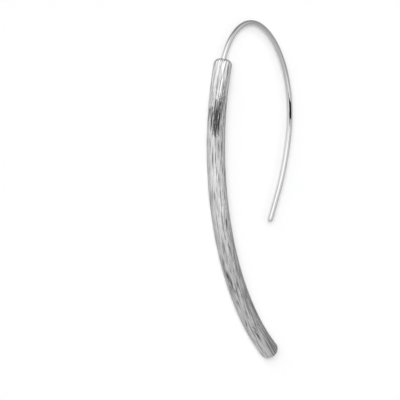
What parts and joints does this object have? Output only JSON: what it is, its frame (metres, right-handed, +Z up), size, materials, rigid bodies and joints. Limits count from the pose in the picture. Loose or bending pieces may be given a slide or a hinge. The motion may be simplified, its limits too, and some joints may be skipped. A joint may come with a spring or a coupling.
{
  "type": "bar earring",
  "caption": "Curved bar of scratch-brushed silver tube with closed rounded ends, on a long polished ear wire that arches over and runs down behind the lobe.",
  "frame": {"origin": "on the surface that the earring lies on, under the middle of its box", "axes": "+Z up, out of the plane that the earring is bent in; +Y to the top of the ear wire's arch, which is up when it is worn; +X from the bar, which is at the front of the ear, to the wire's limb behind the ear"},
  "size_m": [0.0286, 0.0558, 0.003],
  "materials": {
    "brushed_silver": "sterling silver with a bright white plate, scratched lengthwise in fine and coarse lines",
    "polished_silver": "drawn sterling silver wire with a bright white plate, polished"
  },
  "bodies": {
    "root": {"bar": "brushed_silver", "ear_wire": "polished_silver"}
  },
  "joints": []
}
